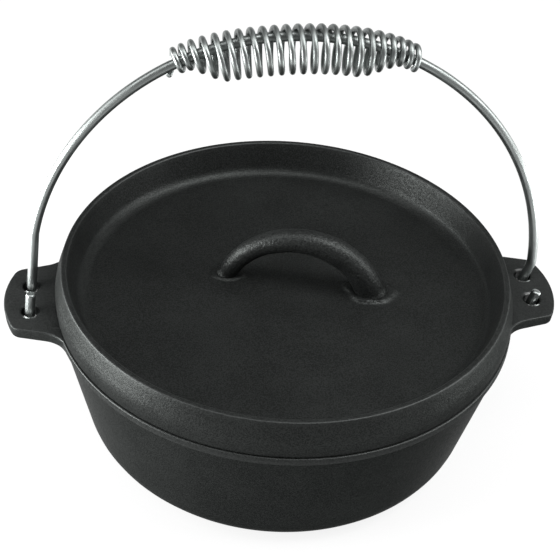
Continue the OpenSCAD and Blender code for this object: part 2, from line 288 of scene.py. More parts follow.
class IronFinish(bpy.types.PropertyGroup):
    """Black seasoned cast iron."""

    dark: colour("Dark", "Colour of the seasoned skin", (0.0200, 0.0213, 0.0207))
    light: colour("Light", "Colour of its greyer patches", (0.0350, 0.0373, 0.0362))
    # Paler colour for wear, for painted highlights along edges and for painted sheen on the ears' tops
    wear_and_highlight: colour("Worn", "Colour of worn edges", (0.060, 0.063, 0.062))
    # Colour of the holes' bright lips: rub wear with a painted glint
    bare_glint: colour("Bare", "Colour of iron that is rubbed bright", (0.86, 0.87, 0.86))
    smooth: share("Smoothest", "Roughness of its smoothest spots", 0.35)
    rough: share("Roughest", "Roughness of its roughest spots", 0.48)
    metal: share("Metal", "How much the skin shines as metal", 0.64)
    rim_shine: colour("Rim shine", "Colour of what it mirrors at a glancing angle", (0.42, 0.42, 0.42))
    grain: length("Grain", "Size of the cast grain", 1.6 * MM)
    grain_depth: length("Grain depth", "Depth of the cast grain", 0.10 * MM)
    loop_grain: number("Loop grain", "How much deeper the grain is on the lid's loop", 3.2, 1.0, 6.0)


class ZincFinish(bpy.types.PropertyGroup):
    """Bright zinc plating on drawn wire."""

    bright: colour("Bright", "Colour of the clean plating", (0.32, 0.343, 0.336))
    dull: colour("Dull", "Colour of its dull streaks", (0.23, 0.248, 0.243))
    smooth: share("Smoothest", "Roughness of the clean plating", 0.33)
    rough: share("Roughest", "Roughness of its dull streaks", 0.46)
    streak: length("Streak", "Length of the drawing streaks", 12 * MM)
    streak_depth: length("Streak depth", "Depth of the drawing streaks", 0.012 * MM)


class StageLook(bpy.types.PropertyGroup):
    """Floor, light and camera."""

    floor: colour("Floor", "Colour of the floor", (0.75, 0.75, 0.75))
    bounce: colour("Bounce", "Colour of the light that the floor throws on the oven", (0.22, 0.22, 0.22))
    glow: share("Glow", "Share of the floor that shows as plain white", 0.85)
    ambient: share("Room", "Strength of the light from the room above", 0.40)
    arch: number("Arch", "Strength of the arch of light over the oven", 3.3, 0.0, 10.0)
    front: share("Front", "Strength of the light from the front, at the height of the floor", 0.4)
    top: power("Top lamp", "Power of the lamp overhead", 1.8)
    left: power("Left lamp", "Power of the low lamp at the left", 7.2)
    right: power("Right lamp", "Power of the low lamp at the right", 1.5)
    azimuth: angle("Azimuth", "Camera's turn round the oven", -8.92)
    elevation: angle("Elevation", "Camera's height above the horizon", 39.07)
    roll: angle("Roll", "Camera's roll", 4.43)
    distance: length("Distance", "From the camera to the lid", 786.9 * MM)
    focal_pixels: number("Focal length", "In pixels of the photograph's frame", 1301.0, 100.0, 5000.0)
    aim_right: signed_length("Aim right", "Camera's aim to the right of the lid's middle", -4.1 * MM)
    aim_up: signed_length("Aim up", "Camera's aim above the lid's middle", -10.2 * MM)


def unit(v):
    """v / |v| along the last axis."""
    return v / np.linalg.norm(v, axis=-1, keepdims=True)


def smoothstep(t):
    """3 t^2 - 2 t^3 with t held between 0 and 1."""
    t = np.clip(t, 0, 1)
    return t * t * (3 - 2 * t)


def quarter_round(gap, radius):
    """r (1 - sqrt(1 - (1 - g / r)^2)): how far a quarter circle of radius r stands off its tangent
    at the gap g from its foot. It falls from r at g = 0 to 0 at g = r and beyond."""
    near = np.clip(gap / radius, 0, 1)
    return radius * (1 - np.sqrt(1 - (1 - near) ** 2))


def distance_along(path):
    """Distance of each point from the start of the line, measured along it."""
    step = np.linalg.norm(np.diff(path, axis=0), axis=1)
    return np.concatenate([[0], np.cumsum(step)])


def arc(centre, radius, start, end, steps):
    """Points centre + radius (cos a, sin a), with a in equal steps from start to end."""
    a = np.linspace(start, end, steps + 1)
    return np.asarray(centre) + radius * np.stack([np.cos(a), np.sin(a)], axis=1)


def rounded(corners):
    """An outline through corners (x, y, radius): each corner with a radius becomes an arc that
    touches both of its sides, with its centre radius / sin(half angle) in along the bisector."""
    corners = np.array(corners, float)
    runs = [corners[:1, :2]]
    for before, (x, y, radius), after in zip(corners, corners[1:-1], corners[2:]):
        here = np.array([x, y])
        back, on = unit(before[:2] - here), unit(after[:2] - here)
        half = math.acos(np.clip(back @ on, -1, 1)) / 2
        centre = here + unit(back + on) * radius / math.sin(half)
        first, last = (here + side * radius / math.tan(half) - centre for side in (back, on))
        start = math.atan2(first[1], first[0])
        sweep = math.remainder(math.atan2(last[1], last[0]) - start, 2 * math.pi)
        runs.append(arc(centre, radius, start, start + sweep, CORNER_STEPS))
    return np.vstack(runs + [corners[-1:, :2]])


def spaced(points, step):
    """The same line with each stretch cut into equal parts no longer than step."""
    stretch = np.linalg.norm(np.diff(points, axis=0), axis=1)
    parts = np.maximum(1, np.ceil(stretch / step)).astype(int)
    first = np.repeat(np.arange(len(parts)), parts)
    along = (np.arange(len(first)) - np.repeat(np.cumsum(parts) - parts, parts)) / parts[first]
    cut = points[first] + along[:, None] * (points[first + 1] - points[first])
    return np.vstack([cut, points[-1:]])


def grid_quads(rows, columns):
    """Corner numbers of the quads between rows of points that close on themselves."""
    i, j = np.meshgrid(np.arange(rows - 1), np.arange(columns), indexing="ij")
    k = (j + 1) % columns
    return np.stack([i * columns + j, i * columns + k, (i + 1) * columns + k, (i + 1) * columns + j],
                    axis=-1).reshape(-1, 4)


def new_object(name, mesh):
    """An object at the origin, in the scene, that shows the mesh."""
    piece = bpy.data.objects.new(name, mesh)
    bpy.context.scene.collection.objects.link(piece)
    return piece


def new_piece(name, points, faces):
    """An object at the origin whose mesh has these points and faces, facing outwards."""
    mesh = bpy.data.meshes.new(name)
    mesh.from_pydata(points, [], faces)
    shell = bmesh.new()
    shell.from_mesh(mesh)
    bmesh.ops.recalc_face_normals(shell, faces=shell.faces)
    shell.to_mesh(mesh)
    shell.free()
    return new_object(name, mesh)


def lathe(outline, steps):
    """The outline (r, z) turned about Z: points (r cos a, r sin a, z), with one pole at each end,
    where the outline lies on the axis."""
    rings = outline[1:-1]
    a = np.arange(steps) * 2 * math.pi / steps
    r, z = rings[:, None, 0], rings[:, None, 1]
    points = np.stack([r * np.cos(a), r * np.sin(a), z + 0 * a], axis=-1).reshape(-1, 3)
    poles = np.array([[0, 0, outline[0, 1]], [0, 0, outline[-1, 1]]])
    count = len(points)
    j = np.arange(steps)
    k = (j + 1) % steps
    last = count - steps
    low = np.stack([np.full(steps, count), k, j], axis=1)
    high = np.stack([last + j, last + k, np.full(steps, count + 1)], axis=1)
    faces = grid_quads(len(rings), steps).tolist() + low.tolist() + high.tolist()
    return np.vstack([points, poles]), faces


def tube(path, side, radius, sides):
    """Rings path + radius (side cos b + across sin b) with across = tangent x side, closed by a
    flat face at each end. Also gives each quad corner's (distance along, share round)."""
    tangent = unit(np.gradient(path, axis=0))
    side = unit(side - tangent * np.sum(side * tangent, axis=1, keepdims=True))
    across = np.cross(tangent, side)
    b = np.arange(sides)[:, None] * 2 * math.pi / sides
    ring = side[:, None] * np.cos(b) + across[:, None] * np.sin(b)
    points = (path[:, None] + radius[:, None, None] * ring).reshape(-1, 3)
    rows = len(path)
    faces = grid_quads(rows, sides).tolist()
    faces += [list(range(sides))[::-1], list(range((rows - 1) * sides, rows * sides))]
    along = distance_along(path)
    i, j = np.meshgrid(np.arange(rows - 1), np.arange(sides), indexing="ij")
    corner_row = np.stack([i, i, i + 1, i + 1], axis=-1).reshape(-1)
    corner_side = np.stack([j, j + 1, j + 1, j], axis=-1).reshape(-1)
    marks = np.stack([along[corner_row], corner_side / sides], axis=1)
    ends = np.repeat([[0, 0], [along[-1], 0]], sides, axis=0)
    return points, faces, np.vstack([marks, ends])


def carve(piece, tools, operation):
    """Joins the tools to the piece ("UNION") or cuts them out of it ("DIFFERENCE")."""
    for tool in tools:
        cut = piece.modifiers.new(operation.lower(), "BOOLEAN")
        cut.operation = operation
        cut.solver = "EXACT"
        cut.object = tool
    view = bpy.context.evaluated_depsgraph_get()
    made = bpy.data.meshes.new_from_object(piece.evaluated_get(view))
    made.name = piece.name
    piece.modifiers.clear()
    blank, piece.data = piece.data, made
    bpy.data.meshes.remove(blank)
    for tool in tools:
        bpy.data.objects.remove(tool)


def vertex_array(mesh):
    """The mesh's points as an array."""
    points = np.empty(len(mesh.vertices) * 3, np.float32)
    mesh.vertices.foreach_get("co", points)
    return points.reshape(-1, 3)


def edge_highlight_and_wear(points, circles, reach):
    """exp(-(d / reach)^2) with d the distance to the nearest of the circles (r, z) round the axis:
    paler lines along the edges, partly wear and partly painted highlights.
    """
    place = np.stack([np.hypot(points[:, 0], points[:, 1]), points[:, 2]], axis=1)
    gap = np.linalg.norm(place[:, None] - np.array(circles)[None], axis=2).min(axis=1)
    return np.exp(-(gap / reach) ** 2)


def mark_points(mesh, name, values):
    """A point attribute of the mesh with one number for each point."""
    attribute = mesh.attributes.new(name, "FLOAT", "POINT")
    attribute.data.foreach_set("value", values.astype(np.float32))


def finish_piece(piece, node, body, material):
    """Shades the piece, gives it its material and puts it in its node's place."""
    piece.data.shade_smooth()
    piece.data.set_sharp_from_angle(angle=CREASE)
    piece.data.materials.clear()
    piece.data.materials.append(material)
    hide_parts(node)
    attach(piece, body)


class Nodes:
    """Builds a node tree: each call adds one node, sets its values and links its inputs."""

    def __init__(self, tree):
        self.tree = tree
        tree.nodes.clear()

    def add(self, kind, links=None, values=None, **settings):
        """A node of the given kind. Gives its outputs."""
        node = self.tree.nodes.new(kind)
        for name, value in settings.items():
            setattr(node, name, value)
        for name, value in (values or {}).items():
            node.inputs[name].default_value = value
        for name, source in (links or {}).items():
            self.tree.links.new(source, node.inputs[name])
        return node.outputs

    def noise(self, vector, scale, detail, rough=0.55):
        """A noise from 0 to 1, most of it near the middle."""
        return self.add("ShaderNodeTexNoise", {"Vector": vector},
                        {"Scale": scale, "Detail": detail, "Roughness": rough})["Fac"]

    def attribute(self, name):
        """A point attribute of the mesh, or 0 where it has none of that name."""
        return self.add("ShaderNodeAttribute", attribute_name=name)["Fac"]

    def span(self, source, low, high, to_low=0.0, to_high=1.0):
        """Maps low..high of the source smoothly to to_low..to_high."""
        return self.add("ShaderNodeMapRange", {"Value": source},
                        {"From Min": low, "From Max": high, "To Min": to_low, "To Max": to_high},
                        interpolation_type="SMOOTHSTEP")["Result"]

    def math(self, operation, *terms):
        """One step of arithmetic; each term is a number or another node's output."""
        links = {i: term for i, term in enumerate(terms) if not isinstance(term, float)}
        values = {i: term for i, term in enumerate(terms) if isinstance(term, float)}
        return self.add("ShaderNodeMath", links, values, operation=operation)["Value"]

    def blend(self, amount, first, second):
        """A colour between first and second; each is a colour or another node's output."""
        pair = {"A": first, "B": second}
        node = self.tree.nodes.new("ShaderNodeMix")
        node.data_type = "RGBA"
        self.tree.links.new(amount, node.inputs["Factor"])
        for socket in node.inputs:
            if socket.type == "RGBA":
                value = pair[socket.name]
                if isinstance(value, bpy.types.NodeSocket):
                    self.tree.links.new(value, socket)
                else:
                    socket.default_value = (*value, 1.0)
        return next(s for s in node.outputs if s.type == "RGBA")


def new_material(name):
    """A material and the builder of its empty node tree."""
    material = bpy.data.materials.new(name)
    material.use_nodes = True
    return material, Nodes(material.node_tree)


def cast_iron(name, finish, rubbed_and_glinting=False):
    """Seasoned iron: a fine sandy grain with a few pits and greyer patches. A point attribute blends
    it towards a paler colour: real wear on the loop and partly on the edges, painted highlights
    along the edges and a painted sheen on the ears' tops. The attribute "coarse" deepens the
    grain. If asked for, a further point attribute turns the holes' lips to bright metal: rub
    wear where the bail bears, with a painted glint."""
    sand_finer, patches_per_metre, pits_per_metre = 2.2, 30.0, 140.0
    pit_edge, pit_choice = (0.10, 0.22), (0.80, 0.90)
    material, nodes = new_material(name)
    place = nodes.add("ShaderNodeTexCoord")["Object"]
    grain = nodes.noise(place, 1 / finish.grain, 1.0, 0.45)
    sand = nodes.noise(place, sand_finer / finish.grain, 0.0)
    patches = nodes.noise(place, patches_per_metre, 4.0, 0.6)
    cells = nodes.add("ShaderNodeTexVoronoi", {"Vector": place}, {"Scale": pits_per_metre})
    chosen = nodes.add("ShaderNodeSeparateColor", {"Color": cells["Color"]})["Red"]
    pits = nodes.math("MULTIPLY", nodes.span(cells["Distance"], *pit_edge, 1.0, 0.0),
                      nodes.span(chosen, *pit_choice))

    speckle = nodes.math("MULTIPLY_ADD", patches, 0.35, sand)
    skin = nodes.blend(nodes.span(speckle, 0.45, 0.90), finish.dark, finish.light)
    # Blends towards the paler colour where the attribute marks real wear, painted edge highlights or
    # painted sheen
    wear_and_highlight = nodes.math("MULTIPLY", nodes.attribute("wear_and_highlight"), nodes.span(grain, 0.35, 0.65, 0.40, 0.70))
    tone = nodes.blend(wear_and_highlight, skin, finish.wear_and_highlight)
    uneven = nodes.math("MULTIPLY_ADD", patches, 0.6, grain)
    rough = nodes.span(uneven, 0.55, 1.05, finish.smooth, finish.rough)

    relief = nodes.math("MULTIPLY_ADD", pits, 0.9, nodes.math("MULTIPLY_ADD", sand, 0.25, grain))
    deeper = nodes.span(nodes.attribute("coarse"), 0.0, 1.0, 1.0, finish.loop_grain)
    bump = nodes.add("ShaderNodeBump", {"Height": nodes.math("MULTIPLY", relief, deeper)},
                     {"Strength": 1.0, "Distance": finish.grain_depth})["Normal"]

    links = {"Base Color": tone, "Roughness": rough, "Normal": bump}
    values = {"Metallic": finish.metal, "Specular IOR Level": 0.0,
              "Specular Tint": (*finish.rim_shine, 1.0)}
    if rubbed_and_glinting:
        # Bright metal on the holes' lips: rub wear with a painted glint
        bare_glint = nodes.attribute("rubbed_and_glinting")
        smoother = nodes.span(bare_glint, 0.0, 1.0, 1.0, 0.5)
        links["Base Color"] = nodes.blend(bare_glint, tone, finish.bare_glint)
        links["Metallic"] = nodes.span(bare_glint, 0.0, 1.0, finish.metal, 1.0)
        links["Roughness"] = nodes.math("MULTIPLY", rough, smoother)
    shader = nodes.add("ShaderNodeBsdfPrincipled", links, values)["BSDF"]
    nodes.add("ShaderNodeOutputMaterial", {"Surface": shader})
    return material


def zinc_wire(name, finish, wire):
    """Plated wire: fine streaks along the wire from drawing it, and dull patches."""
    streak_width, patches_per_metre = 0.5 * MM, 60.0
    material, nodes = new_material(name)
    marks = nodes.add("ShaderNodeUVMap", uv_map="wire")["UV"]
    girth = math.pi * wire
    drawn = nodes.add("ShaderNodeMapping", {"Vector": marks},
                      {"Scale": (1 / finish.streak, girth / streak_width, 1.0)})["Vector"]
    place = nodes.add("ShaderNodeTexCoord")["Object"]
    streaks = nodes.noise(drawn, 1.0, 3.0, 0.6)
    patches = nodes.noise(place, patches_per_metre, 3.0, 0.5)
    dull = nodes.span(nodes.math("MULTIPLY_ADD", streaks, 0.6, patches), 0.60, 1.05)
    tone = nodes.blend(dull, finish.bright, finish.dull)
    rough = nodes.span(dull, 0.0, 1.0, finish.smooth, finish.rough)
    bump = nodes.add("ShaderNodeBump", {"Height": streaks},
                     {"Strength": 1.0, "Distance": finish.streak_depth})["Normal"]
    shader = nodes.add("ShaderNodeBsdfPrincipled",
                       {"Base Color": tone, "Roughness": rough, "Normal": bump},
                       {"Metallic": 1.0})["BSDF"]
    nodes.add("ShaderNodeOutputMaterial", {"Surface": shader})
    return material


def pot_outline(pot):
    """Half section (r, z) of the pot, from the middle of its base round to its inside floor."""
    lean = math.tan(pot.draft)
    band_low = pot.height - pot.band_height
    wall_at_band = pot.rim_radius - pot.band_step
    wall_foot = wall_at_band - band_low * lean
    inner_rim = wall_at_band + pot.band_height * lean - pot.wall / math.cos(pot.draft)
    inner_foot = inner_rim - (pot.height - pot.floor) * lean
    edge = pot.edge_round
    corners = [
        (0, 0, 0),
        (wall_foot, 0, pot.base_corner),
        (wall_at_band - pot.band_step * lean, band_low - pot.band_step, BAND_HOLLOW),
        (pot.rim_radius, band_low, 0.7 * edge),
        (pot.rim_radius, pot.height, edge),
        (inner_rim, pot.height, edge),
        (inner_foot, pot.floor, pot.base_corner - pot.wall),
        (0, pot.floor, 0),
    ]
    return spaced(rounded(corners), POT_STRETCH)


def ear_edge(pot):
    """Edge of the ear at +X seen from above, from its root at +Y round to its root at -Y: a
    hollow, a straight side, a round corner and half of the bowed tip, then the same mirrored.
    Gives the points and the normals that point away from the ear."""
    root = pot.rim_radius - EAR_ROOT_IN
    out = np.array([math.sin(pot.ear_splay), math.cos(pot.ear_splay)])
    along = np.array([out[1], -out[0]])
    offset = out @ [pot.rim_radius + pot.hole_out, pot.ear_width / 2]

    def on_line_at(across, reach):
        return out * across + along * math.sqrt(reach * reach - across * across)

    hollow = on_line_at(offset + pot.ear_hollow, root + pot.ear_hollow)
    tip = np.array([pot.rim_radius + pot.ear_reach - pot.ear_tip, 0])
    corner = tip + on_line_at(offset - pot.ear_corner - out @ tip, pot.ear_tip - pot.ear_corner)
    hollow_turn = math.atan2(hollow[1], hollow[0])
    side_turn = QUARTER - pot.ear_splay
    corner_turn = math.atan2(corner[1], corner[0] - tip[0])
    arcs = [
        (hollow, -pot.ear_hollow, hollow_turn, side_turn, EAR_HOLLOW_STEPS),
        (corner, pot.ear_corner, side_turn, corner_turn, EAR_CORNER_STEPS),
        (tip, pot.ear_tip, corner_turn, 0.0, EAR_TIP_STEPS),
    ]
    points, normals = [], []
    for centre, radius, start, end, steps in arcs:
        turn = arc((0, 0), 1.0, start, end, steps)
        points.append(centre + radius * turn)
        normals.append(turn)
    points[2], normals[2] = points[2][1:], normals[2][1:]
    side = spaced(np.vstack([points[0][-1:], points[1][:1]]), EAR_SIDE_STRETCH)[1:-1]
    points.insert(1, side)
    normals.insert(1, np.tile(out, (len(side), 1)))
    half, normal = np.vstack(points), np.vstack(normals)
    flip = np.array([1, -1])
    return np.vstack([half, half[-2::-1] * flip]), np.vstack([normal, normal[-2::-1] * flip])


def ear_solid(pot):
    """The ear at +X as rings that run along its edge. Each ring goes out over the top face, round
    the edge and back under it, where a fillet of a quarter circle leads down into the wall."""
    edge, normal = ear_edge(pot)
    below_band = pot.ear_thickness - pot.band_height
    wall = pot.rim_radius - pot.band_step - below_band * math.tan(pot.draft)
    inner = unit(edge) * (wall - EAR_SINK)
    top, low = pot.height, pot.height - pot.ear_thickness

    def fillet(place):
        return quarter_round(np.linalg.norm(place, axis=-1) - wall, pot.ear_fillet)

    def ring(place, z):
        return np.concatenate([place, np.broadcast_to(z, len(place))[:, None]], axis=1)

    low_edge = edge - normal * EAR_DRAFT
    low_z = low - fillet(low_edge)
    top_edge = edge - normal * EAR_TOP_ROUND
    quarter_turn = np.linspace(0, QUARTER, EAR_ROUND_STEPS + 1)
    rings = [ring(inner + (top_edge - inner) * s, top) for s in np.linspace(0, 1, EAR_TOP_STEPS + 1)]
    for a in quarter_turn[1:]:
        place = edge - normal * EAR_TOP_ROUND * (1 - math.sin(a))
        rings.append(ring(place, top - EAR_TOP_ROUND * (1 - math.cos(a))))
    upper = rings[-1]
    lower = ring(low_edge, low_z + EAR_LOW_ROUND)
    rings += [upper + (lower - upper) * s for s in EAR_SIDE_CUTS]
    for a in quarter_turn:
        place = low_edge - normal * EAR_LOW_ROUND * (1 - math.cos(a))
        rings.append(ring(place, low_z + EAR_LOW_ROUND * (1 - math.sin(a))))
    rim = rings[-1][:, :2]
    for s in np.linspace(0, 1, EAR_UNDER_STEPS + 1)[1:]:
        place = rim + (inner - rim) * s
        rings.append(ring(place, low - fillet(place)))
    points = np.stack(rings, axis=1)
    rows, columns = points.shape[:2]
    faces = grid_quads(rows, columns).tolist()
    faces += [list(range(columns)), list(range((rows - 1) * columns, rows * columns))]
    return points.reshape(-1, 3), faces


def hole_cutter(pot, x, y):
    """A spool that cuts one hole: a cylinder whose ends open into shallow hollows, arcs whose
    slope falls from steep at the hole to nearly flat where they leave the ear."""
    radius, low, high = pot.hole / 2, pot.height - pot.ear_thickness, pot.height
    bow = pot.hole_mouth / (math.sin(HOLE_STEEP) - math.sin(HOLE_FLAT))
    centre = np.array([radius + bow * math.sin(HOLE_STEEP), high - bow * math.cos(HOLE_FLAT)])
    upper = arc(centre, bow, QUARTER + HOLE_STEEP, QUARTER + HOLE_FLAT, CORNER_STEPS)
    flare = upper[-1] + HOLE_FLARE * np.array([math.cos(HOLE_FLAT), math.sin(HOLE_FLAT)])
    upper = np.vstack([upper, flare])
    lower = upper[::-1] * [1, -1] + [0, low + high]
    outline = np.vstack([[[0, lower[0, 1]]], lower, upper, [[0, upper[-1, 1]]]])
    points, faces = lathe(outline, HOLE_STEPS)
    return new_piece("hole_cutter", points + [x, y, 0], faces)


def ear_top_sheen(points, pot):
    """Painted sheen on the level tops of the ears: a paler colour that rises from the rim."""
    rise, level_within = 3 * MM, 0.3 * MM
    beyond_rim = np.hypot(points[:, 0], points[:, 1]) - pot.rim_radius
    level = np.abs(points[:, 2] - pot.height) < level_within
    return EAR_TOP_SHEEN * level * smoothstep(beyond_rim / rise)


def lip_rub_and_glint(points, pot):
    """1 on the front of the hollows round the holes, a little on their back, and 0 everywhere else:
    bright metal where the leaning bail rubs the iron, with a painted glint, strong on the front lip
    and weak on the back. A lip starts where the cosine of its direction passes a limit and gets
    brighter from there."""
    lip_from, front_rise, back_rise, back_glint = 0.80, 0.12, 0.15, 0.12
    widest = pot.hole / 2 + 0.98 * pot.hole_mouth
    deepest = 0.6 * pot.hole_mouth
    x = np.abs(points[:, 0]) - pot.rim_radius - pot.hole_out
    y = points[:, 1] - np.sign(points[:, 1]) * pot.hole_spacing / 2
    out = np.hypot(x, y)
    depth = pot.height - points[:, 2]
    in_hollow = (out < widest) & (depth < deepest) & (depth > 0)
    forward = -y / np.maximum(out, MM)
    front_lip = smoothstep((forward - lip_from) / front_rise)
    back_lip = smoothstep((-forward - lip_from) / back_rise)
    return in_hollow * (front_lip + back_glint * back_lip)


class OVEN_OT_pot(bpy.types.Operator):
    """Cast the pot with its two drilled ears"""

    bl_idname = "oven.pot"
    bl_label = "Pot"

    def execute(self, context):
        pot = context.scene.oven_pot
        piece = new_piece("pot_casting", *lathe(pot_outline(pot), POT_STEPS))
        points, faces = ear_solid(pot)
        ears = [new_piece("ear", points * [s, s, 1], faces) for s in (1, -1)]
        carve(piece, ears, "UNION")
        x, y = pot.rim_radius + pot.hole_out, pot.hole_spacing / 2
        holes = [hole_cutter(pot, s * x, t * y) for s in (1, -1) for t in (1, -1)]
        carve(piece, holes, "DIFFERENCE")
        band_low = pot.height - pot.band_height
        # Paler lines on the rim's top edge and the band's lower edge: partly wear, partly painted
        # highlights
        edges = [(pot.rim_radius, pot.height), (pot.rim_radius, band_low)]
        points = vertex_array(piece.data)
        # Paler colour on the edges, partly wear and partly painted highlights, and painted sheen on the
        # ears' tops
        wear_and_highlight = np.maximum(edge_highlight_and_wear(points, edges, POT_EDGE_HIGHLIGHT_AND_WEAR), ear_top_sheen(points, pot))
        mark_points(piece.data, "wear_and_highlight", wear_and_highlight)
        # Holes' lips as bright metal: rub wear with a painted glint
        mark_points(piece.data, "rubbed_and_glinting", lip_rub_and_glint(points, pot))
        iron = cast_iron("pot_iron", context.scene.oven_iron, rubbed_and_glinting=True)
        finish_piece(piece, "pot", "pot", iron)
        return {"FINISHED"}


def lid_outline(pot, lid):
    """Half section (r, z) of the lid, from the middle of its underside round to its tray floor,
    which is cut finer than the rest."""
    seat = pot.height + lid.seat_gap
    floor = seat + lid.tray_floor
    under = floor - lid.floor
    plug = pot.rim_radius - lid.plug_in
    top = pot.rim_radius - lid.top_in
    tray = top - lid.land
    tray_foot = tray - (lid.top - floor) * math.tan(lid.tray_draft)
    edge = lid.edge_round
    corners = [
        (0, under, 0),
        (plug, under, edge),
        (plug, seat, 0.5 * edge),
        (pot.rim_radius - lid.foot_in, seat, 0.8 * edge),
        (pot.rim_radius - lid.ridge_in, seat + lid.ridge_height, lid.ridge_round),
        (top, lid.top, edge),
        (tray, lid.top, 1.2 * edge),
        (tray_foot, floor, lid.tray_corner),
        (0, floor, 0),
    ]
    outline = rounded(corners)
    last_of_wall = np.flatnonzero(outline[:, 1] > floor + 2 * edge)[-1]
    wall = spaced(outline[:last_of_wall + 1], LID_STRETCH)
    tray_floor = spaced(outline[last_of_wall:], TRAY_STRETCH)
    return np.vstack([wall, tray_floor[1:]])


def loop_feet(lid):
    """Distance from the lid's middle to the loop's left and right foot, along the loop."""
    centre_up = lid.loop_rise - lid.loop_radius
    half = math.sqrt(lid.loop_radius ** 2 - centre_up ** 2)
    return lid.loop_shift - half, lid.loop_shift + half


def pad(points, x, y, long, wide, phase):
    """Height of a low pad with an uneven edge: 1 inside, falling to 0 at its outline, an ellipse
    whose size wavers by a few sines of the angle round it."""
    dx, dy = (points[:, 0] - x) / long, (points[:, 1] - y) / wide
    round_it = np.arctan2(dy, dx)
    waver = 1 + 0.07 * np.sin(3 * round_it + phase) + 0.05 * np.sin(5 * round_it - 2 * phase)
    return smoothstep((1 - np.hypot(dx, dy) / waver) / PAD_EDGE)


def uneven_floor(points, lid, floor):
    """Raises the pads under the loop's feet and lets the cast floor wave by a few sines, whose
    lengths in millimetres have no common measure."""
    level_within = 0.5 * MM
    left, right = loop_feet(lid)
    inside = smoothstep((FLOOR_REACH - np.hypot(points[:, 0], points[:, 1])) / FLOOR_FADE)
    on_floor = inside * (np.abs(points[:, 2] - floor) < level_within)
    x, y = points[:, 0] / MM, points[:, 1] / MM
    long_wave = np.sin(x / 17 + 0.6) * np.sin(y / 21 + 1.1)
    short_wave = np.sin(x / 9 - y / 13) * np.sin(y / 11 + 2)
    right_pad = pad(points, right, lid.loop_back, *RIGHT_PAD, phase=0.4)
    left_pad = pad(points, left, lid.loop_back, *LEFT_PAD, phase=2.1)
    rise = lid.pad_height * (right_pad + LEFT_PAD_SHARE * left_pad)
    lifted = points.copy()
    lifted[:, 2] += on_floor * (rise + FLOOR_WAVE * (long_wave + 0.6 * short_wave))
    return lifted


def loop_bar(lid, floor):
    """The loop: a bar along an arc in the XZ plane. Its radius runs from the right foot's to the
    left foot's, wavers a little and swells by a quarter circle where it meets the floor."""
    lowest_swell = 0.12 * lid.foot_round
    centre_z = floor + lid.loop_rise - lid.loop_radius
    start = math.asin((floor - 0.5 * lid.floor - centre_z) / lid.loop_radius)
    line = arc((lid.loop_shift, centre_z), lid.loop_radius, start, math.pi - start, LOOP_STEPS)
    path = np.stack([line[:, 0], np.full(len(line), lid.loop_back), line[:, 1]], axis=1)
    side = unit(path - [lid.loop_shift, lid.loop_back, centre_z])
    to_left = np.linspace(0, 1, len(path))
    bar = (lid.bar_right + (lid.bar_left - lid.bar_right) * to_left) / 2
    swell = quarter_round(np.maximum(path[:, 2] - floor, lowest_swell), lid.foot_round)
    waver = 1 + 0.012 * np.sin(to_left * 23) + 0.01 * np.sin(to_left * 41 + 1)
    return tube(path, side, bar * waver + swell, LOOP_SIDES)[:2]


def on_loop(points, lid, floor, from_height, over):
    """1 on the loop and 0 off it, rising from the given height above the floor over a distance."""
    inside = np.hypot(points[:, 0], points[:, 1]) < lid.loop_radius + lid.loop_shift + lid.bar_right
    return inside * smoothstep((points[:, 2] - floor - from_height) / over)


class OVEN_OT_lid(bpy.types.Operator):
    """Cast the dished lid with its loop"""

    bl_idname = "oven.lid"
    bl_label = "Lid"

    def execute(self, context):
        pot, lid = context.scene.oven_pot, context.scene.oven_lid
        floor = pot.height + lid.seat_gap + lid.tray_floor
        points, faces = lathe(lid_outline(pot, lid), LID_STEPS)
        piece = new_piece("lid_casting", uneven_floor(points, lid, floor), faces)
        loop = new_piece("loop", *loop_bar(lid, floor))
        carve(piece, [loop], "UNION")
        piece.data.transform(Matrix.Rotation(lid.turn, 4, "Z"))
        top = pot.rim_radius - lid.top_in
        # Paler lines on both edges of the lid's top: partly wear, partly painted highlights
        edges = [(top, lid.top), (top - lid.land, lid.top)]
        points = vertex_array(piece.data)
        held = LOOP_WEAR * on_loop(points, lid, floor, from_height=3 * MM, over=10 * MM)
        mark_points(piece.data, "wear_and_highlight", np.maximum(edge_highlight_and_wear(points, edges, LID_EDGE_HIGHLIGHT_AND_WEAR), held))
        mark_points(piece.data, "coarse", on_loop(points, lid, floor, from_height=0.6 * MM, over=1 * MM))
        iron = cast_iron("lid_iron", context.scene.oven_iron)
        finish_piece(piece, "lid", "lid", iron)
        return {"FINISHED"}


